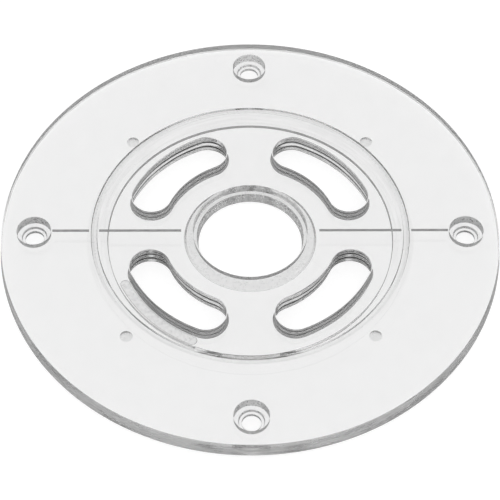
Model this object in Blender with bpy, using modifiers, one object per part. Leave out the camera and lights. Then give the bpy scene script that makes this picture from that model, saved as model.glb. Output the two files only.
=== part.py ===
"""Round router base: a clear moulded plate with a guide seat, chip slots, screw holes and a filled centre line.

The plate lies as it does on a bench, with its working face up. The origin is the middle of its underside.
"""
from math import cos, pi, radians, sin

import bmesh
import bpy
from mathutils import Vector

MM = 0.001

# Plate: its size across the working face, and its full thickness through the central boss
PLATE_DIAMETER = 152.4 * MM
PLATE_THICKNESS = 7.2 * MM

# Outer ring: thinner than the boss, with a rim that widens towards the underside
RING_THICKNESS = 5.3 * MM
RIM_DRAFT = 0.5 * MM
RIM_EDGE_RADIUS = 0.25 * MM

# Centre hole: a counterbored seat for the guide's flange, and the tapered lip under it
GUIDE_SEAT_DIAMETER = 35.0 * MM
GUIDE_SEAT_DEPTH = 3.1 * MM
LIP_TOP_DIAMETER = 32.8 * MM
LIP_BOTTOM_DIAMETER = 31.9 * MM

# Ring groove in the working face
GROOVE_OUTER_DIAMETER = 97.6 * MM
GROOVE_WIDTH = 1.9 * MM
GROOVE_DEPTH = 0.65 * MM
GROOVE_DRAFT = 0.15 * MM

# Underside: the central boss, and a shallow recess in it around the centre hole
BOSS_DIAMETER = 87.8 * MM
BOSS_DRAFT = 0.15 * MM
HUB_RECESS_DIAMETER = 39.3 * MM
HUB_RECESS_DEPTH = 0.5 * MM

# Chip slots, centred between the screw holes
SLOT_INNER_RADIUS = 27.2 * MM
SLOT_OUTER_RADIUS = 39.4 * MM
SLOT_HALF_ANGLE = radians(21.3)

# Screw holes: a flat-bottomed counterbore, a short lead-in cone and a clearance hole
SCREW_EDGE_DISTANCE = 9.9 * MM
SCREW_SEAT_DIAMETER = 10.5 * MM
SCREW_SEAT_DEPTH = 3.3 * MM
SCREW_CONE_DIAMETER = 7.8 * MM
SCREW_CONE_DEPTH = 0.9 * MM
SCREW_HOLE_DIAMETER = 5.8 * MM

# Round shallow pockets in the outer ring's underside, in line with the slots
POCKET_CIRCLE_DIAMETER = 104.8 * MM
POCKET_DIAMETER = 4.0 * MM
POCKET_DEPTH = 1.1 * MM

# Bare label panel: a shallow curved recess in the boss's underside, just inside its edge
PANEL_EDGE_MARGIN = 0.7 * MM
PANEL_WIDTH = 2.9 * MM
PANEL_DEPTH = 0.3 * MM
PANEL_START_ANGLE = radians(204.7)
PANEL_END_ANGLE = radians(245.3)

# Centre line across the working face, as dark filling in a cut channel
LINE_WIDTH = 0.7 * MM
LINE_FILL_DEPTH = 0.4 * MM
LINE_HUB_MARGIN = 3.7 * MM
LINE_SCREW_MARGIN = 0.45 * MM
LINE_GROOVE_MARGIN = 0.6 * MM

# Clearances and cutting
FIT_GAP = 0.3 * MM
CUT_OVERRUN = 1.0 * MM
WELD_DISTANCE = 0.001 * MM

# How finely the round shapes are divided
PLATE_STEPS = 120
HOLE_STEPS = 32
EDGE_STEPS = 2
SLOT_SIDE_STEPS = 14
SLOT_END_STEPS = 10
SHARP_ANGLE = radians(25)

# Worked out from the sizes above
RING_UNDERSIDE = PLATE_THICKNESS - RING_THICKNESS
SCREW_CIRCLE_RADIUS = PLATE_DIAMETER / 2 - SCREW_EDGE_DISTANCE

QUARTER_ANGLES = [radians(angle) for angle in (0, 90, 180, 270)]
DIAGONAL_ANGLES = [radians(angle) for angle in (45, 135, 225, 315)]

PLATE_COLOUR = (0.93, 0.94, 0.94, 1)
LINE_COLOUR = (0.16, 0.16, 0.17, 1)


def clear_scene():
    for scene_object in list(bpy.data.objects):
        bpy.data.objects.remove(scene_object)


def new_collection(name):
    collection = bpy.data.collections.new(name)
    bpy.context.scene.collection.children.link(collection)
    return collection


def plastic(name, colour, roughness, transmission):
    material = bpy.data.materials.new(name)
    material.use_nodes = True
    shader = material.node_tree.nodes["Principled BSDF"]
    shader.inputs["Base Color"].default_value = colour
    shader.inputs["Roughness"].default_value = roughness
    shader.inputs["Metallic"].default_value = 0
    shader.inputs["Transmission Weight"].default_value = transmission
    shader.inputs["IOR"].default_value = 1.58
    material.diffuse_color = colour
    return material


def polar(radius, angle):
    return radius * cos(angle), radius * sin(angle)


def arc(centre, radius, start, end, steps):
    """Points from start to end on a circle, both ends included."""
    angles = [start + (end - start) * step / steps for step in range(steps + 1)]
    return [(centre[0] + radius * cos(angle), centre[1] + radius * sin(angle)) for angle in angles]


def as_cutter(cutter):
    cutter.hide_render = True
    cutter.display_type = "WIRE"
    return cutter


def turned(name, profile, steps, collection, closed):
    """A body turned about Z from points (radius, height) that run down its outer side."""
    mesh = bpy.data.meshes.new(name)
    points = [(radius, 0, height) for radius, height in profile]
    edges = [(index, index + 1) for index in range(len(points) - 1)]
    if closed:
        edges.append((len(points) - 1, 0))
    mesh.from_pydata(points, edges, [])
    body = bpy.data.objects.new(name, mesh)
    collection.objects.link(body)
    screw = body.modifiers.new("Turn", "SCREW")
    screw.axis = "Z"
    screw.steps = steps
    screw.render_steps = steps
    screw.use_merge_vertices = True
    screw.merge_threshold = WELD_DISTANCE
    return body


def outline_prism(name, outline, low, high, collection):
    """A flat outline of (x, y) points, made solid between two heights."""
    curve = bpy.data.curves.new(name + "_outline", "CURVE")
    curve.dimensions = "2D"
    curve.fill_mode = "BOTH"
    curve.extrude = (high - low) / 2
    spline = curve.splines.new("POLY")
    spline.points.add(len(outline) - 1)
    for point, (x, y) in zip(spline.points, outline):
        point.co = (x, y, 0, 1)
    spline.use_cyclic_u = True
    guide = bpy.data.objects.new(name + "_outline", curve)
    guide.location = (0, 0, (low + high) / 2)
    collection.objects.link(guide)
    bpy.context.view_layer.update()
    depsgraph = bpy.context.evaluated_depsgraph_get()
    mesh = bpy.data.meshes.new_from_object(guide.evaluated_get(depsgraph))
    shape = bmesh.new()
    shape.from_mesh(mesh)
    bmesh.ops.remove_doubles(shape, verts=shape.verts, dist=WELD_DISTANCE)
    bmesh.ops.recalc_face_normals(shape, faces=shape.faces)
    shape.to_mesh(mesh)
    shape.free()
    prism = bpy.data.objects.new(name, mesh)
    prism.matrix_world = guide.matrix_world.copy()
    collection.objects.link(prism)
    bpy.data.objects.remove(guide)
    return prism


def block(name, low, high, collection):
    """A box between two corners, with its origin at its middle."""
    low, high = Vector(low), Vector(high)
    shape = bmesh.new()
    bmesh.ops.create_cube(shape, size=1)
    bmesh.ops.scale(shape, vec=high - low, verts=shape.verts)
    mesh = bpy.data.meshes.new(name)
    shape.to_mesh(mesh)
    shape.free()
    box = bpy.data.objects.new(name, mesh)
    box.location = (low + high) / 2
    collection.objects.link(box)
    return box


def curved_slot_outline(inner_radius, outer_radius, start, end):
    """A slot bent around the centre, with half-round ends past its start and end angles."""
    middle_radius = (inner_radius + outer_radius) / 2
    end_radius = (outer_radius - inner_radius) / 2
    outer_side = arc((0, 0), outer_radius, start, end, SLOT_SIDE_STEPS)
    far_end = arc(polar(middle_radius, end), end_radius, end, end + pi, SLOT_END_STEPS)
    inner_side = arc((0, 0), inner_radius, end, start, SLOT_SIDE_STEPS)
    near_end = arc(polar(middle_radius, start), end_radius, start + pi, start + 2 * pi, SLOT_END_STEPS)
    return outer_side + far_end[1:-1] + inner_side + near_end[1:-1]


def groove_section():
    """The groove's section with its sloping walls, from its inner edge to its outer edge."""
    outer = GROOVE_OUTER_DIAMETER / 2
    inner = outer - GROOVE_WIDTH
    floor = PLATE_THICKNESS - GROOVE_DEPTH
    inner_side = [(inner, PLATE_THICKNESS), (inner + GROOVE_DRAFT, floor)]
    return inner_side + [(outer - GROOVE_DRAFT, floor), (outer, PLATE_THICKNESS)]


def plate_profile():
    """The plate's half section: out along the top, down the rim, in along the underside and up the centre hole."""
    rim = PLATE_DIAMETER / 2
    foot = rim + RIM_DRAFT
    top = PLATE_THICKNESS
    edge = RIM_EDGE_RADIUS
    hub = HUB_RECESS_DIAMETER / 2
    boss = BOSS_DIAMETER / 2
    seat = GUIDE_SEAT_DIAMETER / 2
    points = [(seat, top)]
    points += groove_section()
    points += arc((rim - edge, top - edge), edge, pi / 2, 0, EDGE_STEPS)
    points += arc((foot - edge, RING_UNDERSIDE + edge), edge, 0, -pi / 2, EDGE_STEPS)
    points += [(boss, RING_UNDERSIDE), (boss - BOSS_DRAFT, 0), (hub, 0), (hub, HUB_RECESS_DEPTH)]
    points += [(LIP_BOTTOM_DIAMETER / 2, HUB_RECESS_DEPTH), (LIP_TOP_DIAMETER / 2, top - GUIDE_SEAT_DEPTH)]
    points += [(seat, top - GUIDE_SEAT_DEPTH)]
    return points


def screw_hole_cutter(index, angle, collection):
    top = PLATE_THICKNESS
    seat = top - SCREW_SEAT_DEPTH
    hole = SCREW_HOLE_DIAMETER / 2
    profile = [(0, top + CUT_OVERRUN), (SCREW_SEAT_DIAMETER / 2, top + CUT_OVERRUN)]
    profile += [(SCREW_SEAT_DIAMETER / 2, seat), (SCREW_CONE_DIAMETER / 2, seat)]
    profile += [(hole, seat - SCREW_CONE_DEPTH), (hole, -CUT_OVERRUN), (0, -CUT_OVERRUN)]
    cutter = turned(f"screw_hole_cutter_{index}", profile, HOLE_STEPS, collection, closed=False)
    x, y = polar(SCREW_CIRCLE_RADIUS, angle)
    cutter.location = (x, y, 0)
    return as_cutter(cutter)


def pocket_cutter(index, angle, collection):
    depth = POCKET_DEPTH + CUT_OVERRUN
    shape = bmesh.new()
    radius = POCKET_DIAMETER / 2
    bmesh.ops.create_cone(
        shape, cap_ends=True, segments=HOLE_STEPS, radius1=radius, radius2=radius, depth=depth
    )
    mesh = bpy.data.meshes.new(f"pocket_cutter_{index}")
    shape.to_mesh(mesh)
    shape.free()
    cutter = bpy.data.objects.new(mesh.name, mesh)
    x, y = polar(POCKET_CIRCLE_DIAMETER / 2, angle)
    cutter.location = (x, y, RING_UNDERSIDE + POCKET_DEPTH - depth / 2)
    cutter.rotation_euler = (0, 0, angle + pi / HOLE_STEPS)
    collection.objects.link(cutter)
    return as_cutter(cutter)


def slot_cutter(index, angle, collection):
    outline = curved_slot_outline(
        SLOT_INNER_RADIUS, SLOT_OUTER_RADIUS, angle - SLOT_HALF_ANGLE, angle + SLOT_HALF_ANGLE
    )
    high = PLATE_THICKNESS + CUT_OVERRUN
    return as_cutter(outline_prism(f"chip_slot_cutter_{index}", outline, -CUT_OVERRUN, high, collection))


def panel_cutter(collection):
    outer_radius = BOSS_DIAMETER / 2 - PANEL_EDGE_MARGIN
    inner_radius = outer_radius - PANEL_WIDTH
    outline = curved_slot_outline(inner_radius, outer_radius, PANEL_START_ANGLE, PANEL_END_ANGLE)
    return as_cutter(outline_prism("label_panel_cutter", outline, -CUT_OVERRUN, PANEL_DEPTH, collection))


def line_spans():
    """Name, near end and far end of each stretch of the centre line, as radii, with the side it lies on."""
    groove_outer = GROOVE_OUTER_DIAMETER / 2
    hub_end = GUIDE_SEAT_DIAMETER / 2 + LINE_HUB_MARGIN
    rim_end = SCREW_CIRCLE_RADIUS - SCREW_SEAT_DIAMETER / 2 - LINE_SCREW_MARGIN
    inner_span = (hub_end, groove_outer - GROOVE_WIDTH - LINE_GROOVE_MARGIN)
    outer_span = (groove_outer + LINE_GROOVE_MARGIN, rim_end)
    spans = []
    for side_name, side in (("left", -1), ("right", 1)):
        for place, (near, far) in (("inner", inner_span), ("outer", outer_span)):
            spans.append((f"centre_line_{side_name}_{place}", side, near, far))
    return spans


def line_box(side, near, far, half_width, low, high):
    """The two corners of a box along X that lies over one stretch of the centre line."""
    x_low, x_high = sorted((side * near, side * far))
    return (x_low, -half_width, low), (x_high, half_width, high)


def build_line_fill(name, side, near, far, material, collection):
    top = PLATE_THICKNESS
    low, high = line_box(side, near, far, LINE_WIDTH / 2, top - LINE_FILL_DEPTH, top)
    fill = block(name, low, high, collection)
    fill.data.materials.append(material)
    return fill


def line_channel_cutter(name, side, near, far, collection):
    top = PLATE_THICKNESS
    low, high = line_box(
        side, near - FIT_GAP, far + FIT_GAP, LINE_WIDTH / 2 + FIT_GAP,
        top - LINE_FILL_DEPTH - FIT_GAP, top + CUT_OVERRUN,
    )
    return as_cutter(block(name + "_channel_cutter", low, high, collection))


def cut(body, cutters):
    for cutter in cutters:
        boolean = body.modifiers.new(cutter.name, "BOOLEAN")
        boolean.operation = "DIFFERENCE"
        boolean.solver = "EXACT"
        boolean.object = cutter


def settle(body):
    """Replaces a body's modifiers by their result, shaded smooth around its round walls."""
    bpy.context.view_layer.update()
    depsgraph = bpy.context.evaluated_depsgraph_get()
    mesh = bpy.data.meshes.new_from_object(body.evaluated_get(depsgraph))
    mesh.name = body.name
    body.modifiers.clear()
    body.data = mesh
    mesh.shade_smooth()
    mesh.set_sharp_from_angle(angle=SHARP_ANGLE)


def build_plate(material, parts, cutters):
    plate = turned("base_plate", plate_profile(), PLATE_STEPS, parts, closed=True)
    plate.data.materials.append(material)
    tools = []
    for index, angle in enumerate(DIAGONAL_ANGLES, start=1):
        tools.append(slot_cutter(index, angle, cutters))
        tools.append(pocket_cutter(index, angle, cutters))
    for index, angle in enumerate(QUARTER_ANGLES, start=1):
        tools.append(screw_hole_cutter(index, angle, cutters))
    tools.append(panel_cutter(cutters))
    for name, side, near, far in line_spans():
        tools.append(line_channel_cutter(name, side, near, far, cutters))
    cut(plate, tools)
    settle(plate)
    return plate


def main():
    clear_scene()
    parts = new_collection("round_router_base")
    cutters = new_collection("round_router_base_cutters")
    clear_plastic = plastic("clear_plastic", PLATE_COLOUR, roughness=0.05, transmission=1)
    dark_fill = plastic("dark_line_fill", LINE_COLOUR, roughness=0.5, transmission=0)
    build_plate(clear_plastic, parts, cutters)
    for name, side, near, far in line_spans():
        build_line_fill(name, side, near, far, dark_fill, parts)


main()
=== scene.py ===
"""Looks of the round router base: its clear moulded plate and filled centre line, with floor, light and camera.

Lengths are in metres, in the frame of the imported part: the origin is the middle of the plate's underside.
"""

from math import cos, pi, radians, sin, sqrt, tan

import bmesh
import bpy
from mathutils import Matrix, Vector


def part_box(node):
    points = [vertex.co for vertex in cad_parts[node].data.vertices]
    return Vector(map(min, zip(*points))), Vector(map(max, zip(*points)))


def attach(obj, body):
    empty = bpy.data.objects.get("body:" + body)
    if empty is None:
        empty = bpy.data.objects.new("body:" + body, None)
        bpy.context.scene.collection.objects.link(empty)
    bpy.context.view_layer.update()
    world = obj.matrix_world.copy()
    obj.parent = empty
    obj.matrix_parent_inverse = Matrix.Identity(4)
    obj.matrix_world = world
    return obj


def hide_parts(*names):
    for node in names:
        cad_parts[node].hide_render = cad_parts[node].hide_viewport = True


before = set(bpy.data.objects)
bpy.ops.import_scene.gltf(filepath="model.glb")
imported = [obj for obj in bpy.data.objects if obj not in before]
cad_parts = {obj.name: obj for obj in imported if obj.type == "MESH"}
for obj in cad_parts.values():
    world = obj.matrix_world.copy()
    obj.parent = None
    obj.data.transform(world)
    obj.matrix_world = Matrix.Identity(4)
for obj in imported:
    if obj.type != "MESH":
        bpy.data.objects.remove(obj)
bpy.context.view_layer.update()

MM = 0.001

# Plate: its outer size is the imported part's, and its rim widens towards the underside
PLATE_LOW, PLATE_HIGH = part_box("base_plate")
RIM_DRAFT = 0.5 * MM
FOOT_RADIUS = (PLATE_HIGH.x - PLATE_LOW.x) / 2
PLATE_RADIUS = FOOT_RADIUS - RIM_DRAFT
TOP = PLATE_HIGH.z
RING_THICKNESS = 5.3 * MM
RIM_TOP_RADIUS = 0.25 * MM
RIM_FOOT_RADIUS = 0.25 * MM

# Central boss in the underside, and the shallow recess in it around the centre hole
BOSS_RADIUS = 43.9 * MM
BOSS_DRAFT = 0.15 * MM
HUB_RECESS_RADIUS = 19.65 * MM
HUB_RECESS_DEPTH = 0.5 * MM
HUB_RECESS_DRAFT = 0.6 * MM
UNDERSIDE_EDGE_RADIUS = 0.12 * MM

# Centre hole
SEAT_RADIUS = 17.5 * MM
SEAT_DEPTH = 3.1 * MM
SEAT_EDGE_RADIUS = 0.12 * MM
LIP_TOP_RADIUS = 16.4 * MM
LIP_BOTTOM_RADIUS = 15.95 * MM
LIP_EDGE_RADIUS = 0.2 * MM

# Ring groove
GROOVE_OUTER_RADIUS = 48.8 * MM
GROOVE_WIDTH = 1.9 * MM
GROOVE_DEPTH = 0.65 * MM
GROOVE_DRAFT = 0.15 * MM
GROOVE_EDGE_RADIUS = 0.08 * MM

# Chip slots: upright walls under the top edge, which then widen towards the underside
SLOT_INNER_RADIUS = 27.2 * MM
SLOT_OUTER_RADIUS = 39.4 * MM
SLOT_HALF_ANGLE = radians(21.3)
SLOT_TOP_EDGE_RADIUS = 0.35 * MM
SLOT_FOOT_EDGE_RADIUS = 0.3 * MM
SLOT_LAND = 1.8 * MM
SLOT_DRAFT = 0.6 * MM

# Screw holes
SCREW_CIRCLE_RADIUS = 66.3 * MM
SCREW_SEAT_RADIUS = 5.25 * MM
SCREW_SEAT_DEPTH = 3.3 * MM
SCREW_CONE_RADIUS = 3.9 * MM
SCREW_CONE_FOOT_RADIUS = 3.65 * MM
SCREW_CONE_DEPTH = 0.8 * MM
SCREW_LEDGE_DEPTH = 0.9 * MM
SCREW_HOLE_RADIUS = 2.9 * MM
SCREW_EDGE_RADIUS = 0.12 * MM

# Round pockets in the outer ring's underside, and the bare label panel in the boss's
POCKET_CIRCLE_RADIUS = 52.4 * MM
POCKET_RADIUS = 2.0 * MM
POCKET_DEPTH = 0.55 * MM
PANEL_OUTER_RADIUS = 43.2 * MM
PANEL_WIDTH = 2.9 * MM
PANEL_DEPTH = 0.3 * MM
PANEL_BEVEL = 0.1 * MM
PANEL_START_ANGLE = radians(204.7)
PANEL_END_ANGLE = radians(245.3)

LINE_GAP = 0.02 * MM
CUT_OVERRUN = 1.0 * MM

PLATE_STEPS = 288
HOLE_STEPS = 96
EDGE_STEPS = 6
SMALL_EDGE_STEPS = 4
DISH_STEPS = 12
SLOT_SIDE_STEPS = 40
SLOT_END_STEPS = 28
FLARE_ANGLE = radians(78)
SHARP_ANGLE = radians(28)

QUARTER_ANGLES = [radians(angle) for angle in (0, 90, 180, 270)]
DIAGONAL_ANGLES = [radians(angle) for angle in (45, 135, 225, 315)]

# Camera: the photograph's viewpoint, from a fit of the plate's circles
CAMERA_DISTANCE = 628.68 * MM
CAMERA_ELEVATION = radians(53.294)
CAMERA_AZIMUTH = radians(-0.7554)
CAMERA_ROLL = radians(0.5185)
CAMERA_AIM = (0.0171 * MM, -7.733 * MM)
CAMERA_LENS = 147.7008
CAMERA_SENSOR = 36.0
CAMERA_SHIFT = 0.001

# Bright field under the plate, seen white by the camera and straight through the plastic. Every ray that has been
# reflected, inside the plastic or off its outside, sees its glow at TURNED_SHARE: a fit to the photo's dark bands.
FLOOR_SIZE = 4.0
FLOOR_GAP = 0.03 * MM
FLOOR_DIFFUSE = 0.3
FLOOR_GLOW = 0.80
TURNED_SHARE = 0.18
WORLD_LOW = 0.78
WORLD_HIGH = 1.1
LIGHT_BOUNCES = 24

# Clear plastic: its own tone and the absorption inside it
CLEARNESS = 0.92
ABSORPTION_TINT = 0.9
ABSORPTION_DENSITY = 30
PLASTIC_IOR = 1.58

# Hazy faces and painted shade: the share of light that each keeps, at the two ends of its pattern
GROOVE_OUTER_KEEPS = (0.74, 0.86)
GROOVE_INNER_KEEPS = (0.88, 1.0)
# The ring band and streak are painted shade under the groove, full on the +y side and fading out towards -y.
RING_BAND_SHADE_KEEPS = (0.84, 1.0)
RING_STREAK_SHADE_KEEPS = (0.80, 0.94)
HUB_KEEPS = (0.74, 0.94)
PANEL_KEEPS = (0.60, 0.98)
POCKET_KEEPS = (0.80, 0.86)
RING_BAND_WIDTH = 4.0 * MM
RING_STREAK_WIDTH = 2.2 * MM
RING_SHADE_AND_FROST_FADE = (-35 * MM, 5 * MM)

# Milky and marked walls: how opaque each is, at the two ends of its pattern, and how dark its marks are.
# The slots' dark lines are painted shade, and their pitch is chosen for the picture, not measured.
SLOT_SHADE_HAZE = (0.0, 0.8)
SLOT_PAINTED_SHADE = 1.0
SLOT_SHADE_LINE_PITCH = 2.5 * MM
SLOT_SHADE_LINE_SWAY = 3.5
SEAT_HAZE = (0.05, 0.45)
SEAT_DARKNESS = 0.3
RIM_HAZE = (0.2, 0.5)
RIM_DARKNESS = 0.1
SCREW_HAZE = (0.30, 0.70)
SCREW_DARKNESS = 0.35
POCKET_HAZE = (0.02, 0.08)
POCKET_DARKNESS = 0.0

# Roughness
POLISHED_ROUGHNESS = 0.012
WALL_ROUGHNESS = 0.2
FROST_ROUGHNESS = 0.32
MASK_BLUR = 0.03 * MM
STREAK_BLUR = 0.3 * MM

# Patterns: cells per metre, along x, y and z where they differ
TURNED_STRETCH = 3.0
RING_SCALE = 1300.0
LINE_SCALES = (60.0, 60.0, 480.0)
MARK_SCALES = (620.0, 620.0, 330.0)
MOTTLE_SCALE = 900.0
CLOUD_SCALE = 160.0
GRAIN_SCALE = 5200.0
RUBBED_SCALE = 420.0

# The values of a pattern between which it does its work
TONE_RANGE = (0.32, 0.68)
HAZE_RANGE = (0.40, 0.60)
DARK_RANGE = (0.56, 0.66)
WIDE_RANGE = (0.3, 0.7)
POLISH_RANGE = (0.35, 0.65)
UPRIGHT_RANGE = (0.55, 0.75)

CLEARNESS_SPREAD = 0.006
FILL_TONES = (0.20, 0.34)
FILL_GRAIN = 0.04
FILL_ROUGHNESS = (0.42, 0.62)
GROOVE_WALL_SHARE = 0.4
RING_BAND_FROST = 0.25

# Relief: how high each pattern stands, in millimetres
CLOUD_RELIEF = 0.012
SLOT_RELIEF = 0.100
SEAT_RELIEF = 0.040
RIM_RELIEF = 0.012
SCREW_RELIEF = 0.030
GROOVE_RELIEF = 0.008
RING_BAND_RELIEF = 0.006
HUB_RELIEF = 0.016
PANEL_RELIEF = 0.040
POCKET_RELIEF = 0.020
GRAIN_RELIEF = 0.020
RUBBED_RELIEF = 0.015


def polar(radius, angle):
    return radius * cos(angle), radius * sin(angle)


def arc(centre, radius, start, end, steps):
    """Points from start to end on a circle, both ends included."""
    angles = [start + (end - start) * step / steps for step in range(steps + 1)]
    return [(centre[0] + radius * cos(angle), centre[1] + radius * sin(angle)) for angle in angles]


def mesh_object(name, shape):
    mesh = bpy.data.meshes.new(name)
    bmesh.ops.recalc_face_normals(shape, faces=shape.faces)
    shape.to_mesh(mesh)
    shape.free()
    made = bpy.data.objects.new(name, mesh)
    bpy.context.scene.collection.objects.link(made)
    return made


def skin(shape, rings, closed_rings=False):
    """Joins rings of points, which run round the shape, by faces."""
    rows = [[shape.verts.new(point) for point in ring] for ring in rings]
    pairs = list(zip(rows, rows[1:]))
    if closed_rings:
        pairs.append((rows[-1], rows[0]))
    for row, following in pairs:
        for index in range(len(row)):
            after = (index + 1) % len(row)
            shape.faces.new((row[index], row[after], following[after], following[index]))
    return rows


def turned_rings(profile, centre, steps, first_angle=0):
    """One ring of points round a vertical axis for each (radius, height) of the profile."""
    angles = [first_angle + 2 * pi * step / steps for step in range(steps)]
    rings = []
    for radius, height in profile:
        rings.append([(centre[0] + radius * cos(a), centre[1] + radius * sin(a), height) for a in angles])
    return rings


def turned_cutter(shape, profile, centre, steps, first_angle=0):
    rows = skin(shape, turned_rings(profile, centre, steps, first_angle))
    shape.faces.new(rows[0])
    shape.faces.new(reversed(rows[-1]))


def edge_flare(radius, steps):
    """How far a wall opens out, and at what height over the face, at its rounded edge and on past the face."""
    points = []
    for step in range(steps):
        angle = FLARE_ANGLE * step / (steps - 1)
        points.append((radius * (1 - cos(angle)), radius * (sin(angle) - 1)))
    out, up = points[-1]
    points.append((out + (CUT_OVERRUN - up) / tan(FLARE_ANGLE), CUT_OVERRUN))
    return points


def curved_slot_outline(inner_radius, outer_radius, start, end):
    """A slot bent around the centre, with half-round ends past its start and end angles."""
    middle_radius = (inner_radius + outer_radius) / 2
    end_radius = (outer_radius - inner_radius) / 2
    outer_side = arc((0, 0), outer_radius, start, end, SLOT_SIDE_STEPS)
    far_end = arc(polar(middle_radius, end), end_radius, end, end + pi, SLOT_END_STEPS)
    inner_side = arc((0, 0), inner_radius, end, start, SLOT_SIDE_STEPS)
    near_end = arc(polar(middle_radius, start), end_radius, start + pi, start + 2 * pi, SLOT_END_STEPS)
    return outer_side + far_end[1:-1] + inner_side + near_end[1:-1]


def slot_cutter(shape, inner_radius, outer_radius, start, end, sections):
    """A cutter whose outline opens out by each section's first value at the height that is its second."""
    rings = []
    for opening, height in sections:
        outline = curved_slot_outline(inner_radius - opening, outer_radius + opening, start, end)
        rings.append([(x, y, height) for x, y in outline])
    rows = skin(shape, rings)
    shape.faces.new(rows[0])
    shape.faces.new(reversed(rows[-1]))


def rounded(corner, radius, start, steps=SMALL_EDGE_STEPS):
    """A quarter of a circle that rounds a square corner, clockwise from the start angle."""
    centre = (corner[0] - radius * (cos(start) + cos(start - pi / 2)),
              corner[1] - radius * (sin(start) + sin(start - pi / 2)))
    return arc(centre, radius, start, start - pi / 2, steps)


def groove_section():
    """The groove's section with its sloping walls, from its inner edge to its outer edge."""
    inner = GROOVE_OUTER_RADIUS - GROOVE_WIDTH
    floor = TOP - GROOVE_DEPTH
    points = rounded((inner, TOP), GROOVE_EDGE_RADIUS, pi / 2)
    points += [(inner + GROOVE_DRAFT, floor), (GROOVE_OUTER_RADIUS - GROOVE_DRAFT, floor)]
    return points + rounded((GROOVE_OUTER_RADIUS, TOP), GROOVE_EDGE_RADIUS, pi)


def plate_profile():
    """The plate's half section: out along the top, down the rim, in along the underside and up the centre hole."""
    seat_floor = TOP - SEAT_DEPTH
    ring_underside = TOP - RING_THICKNESS
    points = rounded((SEAT_RADIUS, TOP), SEAT_EDGE_RADIUS, pi)
    points += groove_section()
    points += rounded((PLATE_RADIUS, TOP), RIM_TOP_RADIUS, pi / 2, EDGE_STEPS)
    points += rounded((FOOT_RADIUS, ring_underside), RIM_FOOT_RADIUS, 0, EDGE_STEPS)
    points += [(BOSS_RADIUS, ring_underside)]
    points += rounded((BOSS_RADIUS - BOSS_DRAFT, 0), UNDERSIDE_EDGE_RADIUS, 0)
    points += rounded((HUB_RECESS_RADIUS + HUB_RECESS_DRAFT, 0), UNDERSIDE_EDGE_RADIUS, -pi / 2)
    points += [(HUB_RECESS_RADIUS, HUB_RECESS_DEPTH)]
    points += rounded((LIP_BOTTOM_RADIUS, HUB_RECESS_DEPTH), LIP_EDGE_RADIUS, -pi / 2)
    points += rounded((LIP_TOP_RADIUS, seat_floor), LIP_EDGE_RADIUS, pi)
    points += [(SEAT_RADIUS, seat_floor)]
    return points


def screw_hole_cutter(shape, angle):
    seat = TOP - SCREW_SEAT_DEPTH
    foot = TOP - RING_THICKNESS
    flare = edge_flare(SCREW_EDGE_RADIUS, SMALL_EDGE_STEPS)
    profile = [(SCREW_SEAT_RADIUS + opening, TOP + height) for opening, height in reversed(flare)]
    profile += [(SCREW_SEAT_RADIUS, seat), (SCREW_CONE_RADIUS, seat)]
    profile += [(SCREW_CONE_FOOT_RADIUS, seat - SCREW_CONE_DEPTH), (SCREW_HOLE_RADIUS, seat - SCREW_LEDGE_DEPTH)]
    profile += [(SCREW_HOLE_RADIUS + opening, foot - height) for opening, height in flare]
    turned_cutter(shape, profile, polar(SCREW_CIRCLE_RADIUS, angle), HOLE_STEPS)


def pocket_cutter(shape, angle):
    """A shallow round dish, which opens into the outer ring's underside."""
    face = TOP - RING_THICKNESS
    profile = []
    for step in range(1, DISH_STEPS + 1):
        share = step / DISH_STEPS
        profile.append((POCKET_RADIUS * share, face + POCKET_DEPTH * (1 - share ** 2)))
    profile.append((POCKET_RADIUS, face - CUT_OVERRUN))
    turned_cutter(shape, profile, polar(POCKET_CIRCLE_RADIUS, angle), HOLE_STEPS // 2, angle + pi / HOLE_STEPS)


def chip_slot_cutter(shape, angle):
    foot = edge_flare(SLOT_FOOT_EDGE_RADIUS, EDGE_STEPS)
    edge = edge_flare(SLOT_TOP_EDGE_RADIUS, EDGE_STEPS)
    sections = [(SLOT_DRAFT + opening, -height) for opening, height in reversed(foot)]
    sections += [(0, TOP - SLOT_LAND)]
    sections += [(opening, TOP + height) for opening, height in edge]
    slot_cutter(shape, SLOT_INNER_RADIUS, SLOT_OUTER_RADIUS, angle - SLOT_HALF_ANGLE,
                angle + SLOT_HALF_ANGLE, sections)


def panel_cutter(shape):
    sections = [(0, -CUT_OVERRUN), (0, PANEL_DEPTH - PANEL_BEVEL), (-PANEL_BEVEL, PANEL_DEPTH)]
    slot_cutter(shape, PANEL_OUTER_RADIUS - PANEL_WIDTH, PANEL_OUTER_RADIUS, PANEL_START_ANGLE,
                PANEL_END_ANGLE, sections)


def line_channel_cutter(shape, node):
    low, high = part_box(node)
    low = low - Vector((LINE_GAP, LINE_GAP, LINE_GAP))
    high = high + Vector((LINE_GAP, LINE_GAP, CUT_OVERRUN))
    bottom, top = [[(low.x, low.y, z), (high.x, low.y, z), (high.x, high.y, z), (low.x, high.y, z)]
                   for z in (low.z, high.z)]
    rows = skin(shape, [bottom, top])
    shape.faces.new(rows[0])
    shape.faces.new(reversed(rows[-1]))


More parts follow.
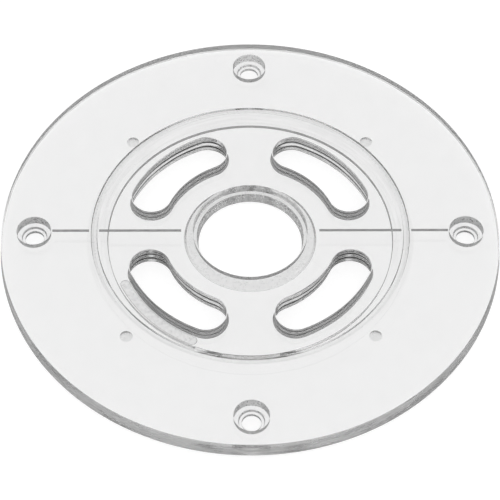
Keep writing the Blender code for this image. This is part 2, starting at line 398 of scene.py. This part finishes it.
def build_plate(line_nodes):
    shape = bmesh.new()
    skin(shape, turned_rings(plate_profile(), (0, 0), PLATE_STEPS), closed_rings=True)
    plate = mesh_object("clear_plate", shape)
    tools = bmesh.new()
    for angle in DIAGONAL_ANGLES:
        chip_slot_cutter(tools, angle)
        pocket_cutter(tools, angle)
    for angle in QUARTER_ANGLES:
        screw_hole_cutter(tools, angle)
    panel_cutter(tools)
    for node in line_nodes:
        line_channel_cutter(tools, node)
    cutter = mesh_object("plate_cutter", tools)
    boolean = plate.modifiers.new("Cut", "BOOLEAN")
    boolean.operation = "DIFFERENCE"
    boolean.solver = "EXACT"
    boolean.object = cutter
    bake_modifiers(plate)
    bpy.data.objects.remove(cutter)
    plate.data.shade_smooth()
    plate.data.set_sharp_from_angle(angle=SHARP_ANGLE)
    weighted = plate.modifiers.new("Even_shading", "WEIGHTED_NORMAL")
    weighted.mode = "FACE_AREA"
    weighted.weight = 80
    weighted.keep_sharp = True
    bake_modifiers(plate)
    return plate


def bake_modifiers(body):
    bpy.context.view_layer.update()
    depsgraph = bpy.context.evaluated_depsgraph_get()
    mesh = bpy.data.meshes.new_from_object(body.evaluated_get(depsgraph))
    mesh.name = body.name
    body.modifiers.clear()
    body.data = mesh


class MaterialTree:
    """A material's nodes, with short calls for the sums behind its masks and patterns."""

    def __init__(self, name):
        self.material = bpy.data.materials.new(name)
        self.material.use_nodes = True
        self.nodes = self.material.node_tree.nodes
        self.links = self.material.node_tree.links
        self.shader = self.nodes["Principled BSDF"]

    def feed(self, socket, value):
        if isinstance(value, bpy.types.NodeSocket):
            self.links.new(value, socket)
        else:
            socket.default_value = value

    def sum_of(self, operation, *values):
        node = self.nodes.new("ShaderNodeMath")
        node.operation = operation
        for socket, value in zip(node.inputs, values):
            self.feed(socket, value)
        return node.outputs[0]

    def product(self, *values):
        total = values[0]
        for value in values[1:]:
            total = self.sum_of("MULTIPLY", total, value)
        return total

    def distance(self, x, y):
        return self.sum_of("SQRT", self.sum_of("ADD", self.product(x, x), self.product(y, y)))

    def spread(self, value, low, high, to_low=0.0, to_high=1.0):
        """Carries low to to_low and high to to_high, and holds beyond them."""
        node = self.nodes.new("ShaderNodeMapRange")
        self.feed(node.inputs["Value"], value)
        for name, number in (("From Min", low), ("From Max", high), ("To Min", to_low), ("To Max", to_high)):
            node.inputs[name].default_value = number
        return node.outputs[0]

    def band(self, value, low, high, blur=MASK_BLUR):
        """1 between low and high, and 0 outside them."""
        return self.product(self.above(value, low, blur), self.below(value, high, blur))

    def above(self, value, edge, blur=MASK_BLUR):
        return self.spread(value, edge - blur, edge + blur)

    def below(self, value, edge, blur=MASK_BLUR):
        return self.spread(value, edge - blur, edge + blur, 1.0, 0.0)

    def mix(self, share, first, second):
        node = self.nodes.new("ShaderNodeMix")
        node.data_type = "FLOAT"
        for socket, value in zip((node.inputs[0], node.inputs[2], node.inputs[3]), (share, first, second)):
            self.feed(socket, value)
        return node.outputs[0]

    def vector(self, x, y, z):
        node = self.nodes.new("ShaderNodeCombineXYZ")
        for socket, value in zip(node.inputs, (x, y, z)):
            self.feed(socket, value)
        return node.outputs[0]

    def place(self, output):
        """One of the object's own coordinates, whole and as its three parts."""
        whole = self.nodes.new("ShaderNodeTexCoord").outputs[output]
        split = self.nodes.new("ShaderNodeSeparateXYZ")
        self.links.new(whole, split.inputs[0])
        return whole, split.outputs[0], split.outputs[1], split.outputs[2]

    def noise(self, place, scale, detail=3.0, roughness=0.6):
        node = self.nodes.new("ShaderNodeTexNoise")
        self.links.new(place, node.inputs["Vector"])
        node.inputs["Scale"].default_value = scale
        node.inputs["Detail"].default_value = detail
        node.inputs["Roughness"].default_value = roughness
        return node.outputs["Fac"]

    def grey(self, value):
        node = self.nodes.new("ShaderNodeCombineColor")
        for socket in node.inputs:
            self.feed(socket, value)
        return node.outputs[0]

    def relief(self, height):
        """Bumps of a height in metres."""
        node = self.nodes.new("ShaderNodeBump")
        node.inputs["Strength"].default_value = 1.0
        node.inputs["Distance"].default_value = 1.0
        self.links.new(height, node.inputs["Height"])
        self.links.new(node.outputs["Normal"], self.shader.inputs["Normal"])


def clear_plastic():
    """Clear plastic: polished faces, marked walls, frosted recesses, turned groove streaks, painted shade in slots
    and under the groove.
    """
    tree = MaterialTree("clear_plastic")
    where, x, y, z = tree.place("Object")
    facing_up = tree.place("Normal")[3]
    radius = tree.distance(x, y)
    turned = [tree.product(tree.sum_of("DIVIDE", part, radius), TURNED_STRETCH) for part in (x, y)]
    blur = MASK_BLUR

    # Patterns: rings around the axis, lines along the walls, marks across them, and mottling
    rings = tree.noise(tree.vector(*turned, tree.product(radius, RING_SCALE)), 1.0, 2.0)
    lines, marks = [
        tree.noise(tree.vector(*[tree.product(part, scale) for part, scale in zip((x, y, z), scales)]), 1.0)
        for scales in (LINE_SCALES, MARK_SCALES)]
    mottle = tree.noise(where, MOTTLE_SCALE)
    clouds = tree.noise(where, CLOUD_SCALE, 2.0, 0.5)

    # Where each finish and each painted shade lies
    face = TOP - RING_THICKNESS
    upright = tree.spread(tree.sum_of("ABSOLUTE", facing_up), *UPRIGHT_RANGE, 1.0, 0.0)
    groove_inner = GROOVE_OUTER_RADIUS - GROOVE_WIDTH
    groove_middle = GROOVE_OUTER_RADIUS - GROOVE_WIDTH / 2
    groove_high = tree.product(tree.band(z, TOP - 2 * GROOVE_DEPTH, TOP - blur),
                               tree.spread(upright, 0.0, 1.0, 1.0, GROOVE_WALL_SHARE))
    groove_outer_half = tree.product(tree.band(radius, groove_middle, GROOVE_OUTER_RADIUS), groove_high)
    groove_inner_half = tree.product(tree.band(radius, groove_inner, groove_middle), groove_high)
    groove = tree.sum_of("ADD", groove_outer_half, groove_inner_half)
    ring_face = tree.product(tree.band(z, face - blur, face + 2 * blur), tree.above(radius, BOSS_RADIUS))
    # Painted shade on the ring's underside beside the boss: full on the +y side, fading out towards -y, and its frost
    # with it.
    faded = tree.product(ring_face, tree.spread(y, *RING_SHADE_AND_FROST_FADE))
    band_end = BOSS_RADIUS + RING_BAND_WIDTH
    ring_band = tree.product(faded, tree.band(radius, BOSS_RADIUS, band_end))
    ring_streak = tree.product(faded, tree.band(radius, band_end, band_end + RING_STREAK_WIDTH, STREAK_BLUR))
    hub = tree.product(tree.below(radius, HUB_RECESS_RADIUS + HUB_RECESS_DRAFT),
                       tree.band(z, blur, HUB_RECESS_DEPTH + 2 * blur))
    panel = tree.product(tree.band(radius, PANEL_OUTER_RADIUS - PANEL_WIDTH - blur, PANEL_OUTER_RADIUS + blur),
                         tree.band(z, PANEL_DEPTH - blur, PANEL_DEPTH + blur))
    sides = [tree.sum_of("ABSOLUTE", part) for part in (x, y)]
    from_pocket = tree.distance(*[tree.sum_of("SUBTRACT", side, POCKET_CIRCLE_RADIUS / sqrt(2)) for side in sides])
    pocket = tree.product(tree.below(from_pocket, POCKET_RADIUS + blur),
                          tree.band(z, face + blur, TOP - GROOVE_DEPTH))
    from_screw = tree.sum_of("MINIMUM", tree.distance(tree.sum_of("SUBTRACT", sides[0], SCREW_CIRCLE_RADIUS), y),
                             tree.distance(x, tree.sum_of("SUBTRACT", sides[1], SCREW_CIRCLE_RADIUS)))
    screw_walls = tree.product(upright, tree.below(from_screw, SCREW_SEAT_RADIUS + 2 * blur))
    rim = tree.product(tree.below(z, TOP - RIM_TOP_RADIUS / 2), tree.above(radius, PLATE_RADIUS - RIM_TOP_RADIUS / 2))
    slot_walls = tree.product(upright, tree.band(radius, SLOT_INNER_RADIUS - MM, SLOT_OUTER_RADIUS + MM, MM / 2))
    seat_walls = tree.product(upright, tree.below(radius, SEAT_RADIUS + blur))

    # Tone: each hazy face keeps a share of the light, which its own pattern varies; on the ring beside the boss it is
    # painted shade
    tone = tree.spread(clouds, *WIDE_RANGE, CLEARNESS - CLEARNESS_SPREAD, CLEARNESS + CLEARNESS_SPREAD)
    for mask, pattern, keeps in ((groove_outer_half, rings, GROOVE_OUTER_KEEPS),
                                 (groove_inner_half, rings, GROOVE_INNER_KEEPS), (ring_band, rings, RING_BAND_SHADE_KEEPS),
                                 (ring_streak, rings, RING_STREAK_SHADE_KEEPS), (hub, mottle, HUB_KEEPS),
                                 (panel, mottle, PANEL_KEEPS), (pocket, clouds, POCKET_KEEPS)):
        tone = tree.product(tone, tree.mix(mask, 1.0, tree.spread(pattern, *TONE_RANGE, *keeps)))

    # Haze: walls whose marks are partly opaque. The slots' dark lines are painted shade that runs round at a steady
    # pitch, and sways.
    phase = tree.sum_of("ADD", tree.product(z, 2 * pi / SLOT_SHADE_LINE_PITCH), tree.product(lines, SLOT_SHADE_LINE_SWAY))
    slot_shade_lines = tree.spread(tree.sum_of("SINE", phase), -1.0, 1.0, *TONE_RANGE)
    haze = None
    for mask, pattern, ends, darkness in ((slot_walls, slot_shade_lines, SLOT_SHADE_HAZE, SLOT_PAINTED_SHADE),
                                          (seat_walls, marks, SEAT_HAZE, SEAT_DARKNESS),
                                          (screw_walls, mottle, SCREW_HAZE, SCREW_DARKNESS),
                                          (rim, lines, RIM_HAZE, RIM_DARKNESS),
                                          (pocket, mottle, POCKET_HAZE, POCKET_DARKNESS)):
        part = tree.product(mask, tree.spread(pattern, *HAZE_RANGE, *ends))
        haze = part if haze is None else tree.sum_of("MAXIMUM", haze, part)
        # On the slot walls this darkening is painted shade; on the other walls it darkens their marks.
        marks_and_shade = tree.spread(pattern, *DARK_RANGE, 1.0, 1.0 - darkness)
        tone = tree.product(tone, tree.mix(mask, 1.0, marks_and_shade))
    tree.links.new(tree.sum_of("SUBTRACT", 1.0, haze), tree.shader.inputs["Transmission Weight"])
    tree.links.new(tree.grey(tone), tree.shader.inputs["Base Color"])

    # Roughness
    walls = tree.sum_of("MAXIMUM", tree.sum_of("MAXIMUM", slot_walls, seat_walls), rim)
    rough = tree.spread(clouds, *POLISH_RANGE, 0.4 * POLISHED_ROUGHNESS, 1.6 * POLISHED_ROUGHNESS)
    rough = tree.mix(walls, rough, tree.spread(lines, *WIDE_RANGE, 0.6 * WALL_ROUGHNESS, 1.4 * WALL_ROUGHNESS))
    frosted = tree.product(ring_band, RING_BAND_FROST)
    for mask in (hub, panel, pocket, groove, screw_walls):
        frosted = tree.sum_of("MAXIMUM", frosted, mask)
    frost = tree.spread(mottle, *WIDE_RANGE, 0.7 * FROST_ROUGHNESS, 1.3 * FROST_ROUGHNESS)
    rough = tree.mix(frosted, rough, frost)
    tree.links.new(rough, tree.shader.inputs["Roughness"])

    # Relief
    height = tree.product(clouds, CLOUD_RELIEF * MM)
    for mask, pattern, depth in ((slot_walls, lines, SLOT_RELIEF), (seat_walls, marks, SEAT_RELIEF),
                                 (rim, lines, RIM_RELIEF), (screw_walls, mottle, SCREW_RELIEF),
                                 (groove, rings, GROOVE_RELIEF), (ring_band, rings, RING_BAND_RELIEF),
                                 (hub, mottle, HUB_RELIEF), (panel, mottle, PANEL_RELIEF),
                                 (pocket, mottle, POCKET_RELIEF)):
        height = tree.sum_of("ADD", height, tree.product(mask, pattern, depth * MM))
    tree.relief(height)

    tree.shader.inputs["IOR"].default_value = PLASTIC_IOR
    absorption = tree.nodes.new("ShaderNodeVolumeAbsorption")
    absorption.inputs["Color"].default_value = (ABSORPTION_TINT, ABSORPTION_TINT, ABSORPTION_TINT, 1)
    absorption.inputs["Density"].default_value = ABSORPTION_DENSITY
    tree.links.new(absorption.outputs["Volume"], tree.nodes["Material Output"].inputs["Volume"])
    return tree.material


def dark_line_fill():
    """Dark grey filling: matt, finely grained, and a little paler where it is rubbed."""
    tree = MaterialTree("dark_line_fill")
    where = tree.place("Object")[0]
    grain = tree.noise(where, GRAIN_SCALE)
    rubbed = tree.noise(where, RUBBED_SCALE)
    tone = tree.sum_of("ADD", tree.spread(rubbed, *WIDE_RANGE, *FILL_TONES),
                       tree.spread(grain, 0.2, 0.8, -FILL_GRAIN, FILL_GRAIN))
    tree.links.new(tree.grey(tone), tree.shader.inputs["Base Color"])
    tree.links.new(tree.spread(rubbed, *WIDE_RANGE, *FILL_ROUGHNESS), tree.shader.inputs["Roughness"])
    tree.relief(tree.sum_of("ADD", tree.product(grain, GRAIN_RELIEF * MM), tree.product(rubbed, RUBBED_RELIEF * MM)))
    return tree.material


def pale_floor():
    """White to the camera and straight through the plastic, dimmed for reflected rays, and diffuse for the shadow."""
    tree = MaterialTree("pale_floor")
    tree.nodes.remove(tree.shader)
    diffuse = tree.nodes.new("ShaderNodeBsdfDiffuse")
    diffuse.inputs["Color"].default_value = (FLOOR_DIFFUSE, FLOOR_DIFFUSE, FLOOR_DIFFUSE, 1)
    path = tree.nodes.new("ShaderNodeLightPath")
    seen = path.outputs["Is Camera Ray"]
    for name in ("Is Glossy Ray", "Is Transmission Ray"):
        seen = tree.sum_of("MAXIMUM", seen, path.outputs[name])
    share = tree.spread(path.outputs["Glossy Depth"], 0.0, 1.0, FLOOR_GLOW, FLOOR_GLOW * TURNED_SHARE)
    glow = tree.nodes.new("ShaderNodeEmission")
    tree.links.new(tree.product(seen, share), glow.inputs["Strength"])
    total = tree.nodes.new("ShaderNodeAddShader")
    tree.links.new(diffuse.outputs[0], total.inputs[0])
    tree.links.new(glow.outputs[0], total.inputs[1])
    tree.links.new(total.outputs[0], tree.nodes["Material Output"].inputs["Surface"])
    return tree.material


def build_floor():
    shape = bmesh.new()
    bmesh.ops.create_grid(shape, x_segments=1, y_segments=1, size=FLOOR_SIZE / 2)
    floor = mesh_object("floor", shape)
    floor.location = (0, 0, -FLOOR_GAP)
    floor.data.materials.append(pale_floor())


def build_world():
    """Soft white light from all round, stronger from above."""
    world = bpy.data.worlds.new("studio")
    bpy.context.scene.world = world
    world.use_nodes = True
    nodes = world.node_tree.nodes
    links = world.node_tree.links
    background = nodes["Background"]
    background.inputs["Color"].default_value = (1, 1, 1, 1)
    where = nodes.new("ShaderNodeTexCoord")
    split = nodes.new("ShaderNodeSeparateXYZ")
    links.new(where.outputs["Generated"], split.inputs[0])
    rise = nodes.new("ShaderNodeMapRange")
    rise.inputs["To Min"].default_value = WORLD_LOW
    rise.inputs["To Max"].default_value = WORLD_HIGH
    links.new(split.outputs["Z"], rise.inputs["Value"])
    links.new(rise.outputs[0], background.inputs["Strength"])


def build_camera():
    data = bpy.data.cameras.new("photo_camera")
    data.sensor_width = CAMERA_SENSOR
    data.lens = CAMERA_LENS
    data.clip_start = 10 * MM
    data.shift_x = -CAMERA_SHIFT
    data.shift_y = CAMERA_SHIFT
    camera = bpy.data.objects.new("photo_camera", data)
    bpy.context.scene.collection.objects.link(camera)
    across = CAMERA_DISTANCE * cos(CAMERA_ELEVATION)
    place = Vector((across * sin(CAMERA_AZIMUTH), -across * cos(CAMERA_AZIMUTH),
                    CAMERA_DISTANCE * sin(CAMERA_ELEVATION)))
    aim = Vector((CAMERA_AIM[0], CAMERA_AIM[1], 0))
    forward = (aim - place).normalized()
    level = forward.cross(Vector((0, 0, 1))).normalized()
    below = forward.cross(level)
    right = level * cos(CAMERA_ROLL) - below * sin(CAMERA_ROLL)
    down = level * sin(CAMERA_ROLL) + below * cos(CAMERA_ROLL)
    turn = Matrix((right, -down, -forward)).transposed().to_4x4()
    turn.translation = place + Vector((0, 0, TOP))
    camera.matrix_world = turn
    bpy.context.scene.camera = camera


def main():
    line_nodes = sorted(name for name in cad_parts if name.startswith("centre_line"))
    plate = build_plate(line_nodes)
    plate.data.materials.append(clear_plastic())
    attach(plate, "root")
    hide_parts("base_plate")
    line_material = dark_line_fill()
    for name in line_nodes:
        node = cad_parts[name]
        node.data.materials.clear()
        node.data.materials.append(line_material)
    build_floor()
    build_world()
    build_camera()
    scene = bpy.context.scene
    scene.view_settings.view_transform = "Standard"
    scene.cycles.max_bounces = LIGHT_BOUNCES
    scene.cycles.glossy_bounces = LIGHT_BOUNCES
    scene.cycles.transmission_bounces = LIGHT_BOUNCES


main()
